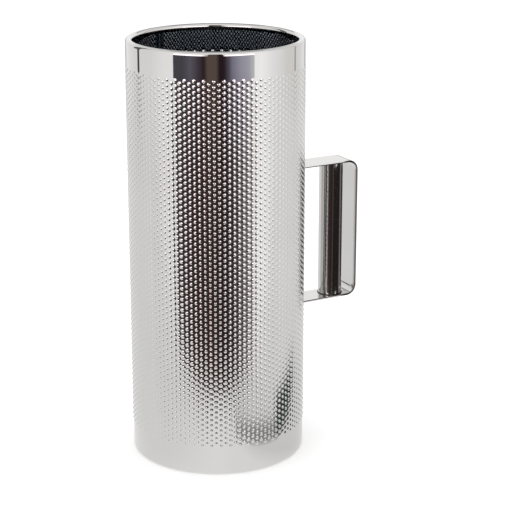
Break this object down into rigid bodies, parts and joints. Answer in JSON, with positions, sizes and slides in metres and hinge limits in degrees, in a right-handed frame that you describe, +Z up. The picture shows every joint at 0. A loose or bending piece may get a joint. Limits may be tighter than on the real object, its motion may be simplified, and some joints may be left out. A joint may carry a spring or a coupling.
{
  "type": "metal guira",
  "caption": "Domed stainless-steel tube, open at both ends, with curled rims and a strap handle holding a round grip; a scraped hand percussion instrument.",
  "frame": {"origin": "on the tube's axis, at the plane that it stands on", "axes": "+Z up along the tube, +X from the axis towards the handle"},
  "size_m": [0.178, 0.127, 0.307],
  "materials": {
    "shell_steel": "mirror-polished stainless steel",
    "strap_steel": "polished stainless steel strip",
    "grip_steel": "mirror-polished stainless tube",
    "wire_steel": "drawn steel wire",
    "weld_steel": "dressed weld metal"
  },
  "bodies": {
    "root": {"tube_shell": "shell_steel", "seam_weld": "weld_steel", "top_rim_wire": "wire_steel", "bottom_rim_wire": "wire_steel", "handle_strap": "strap_steel", "grip_tube": "grip_steel", "upper_foot_welds": "weld_steel", "lower_foot_welds": "weld_steel", "grip_upper_braze": "weld_steel", "grip_lower_braze": "weld_steel"}
  },
  "joints": []
}
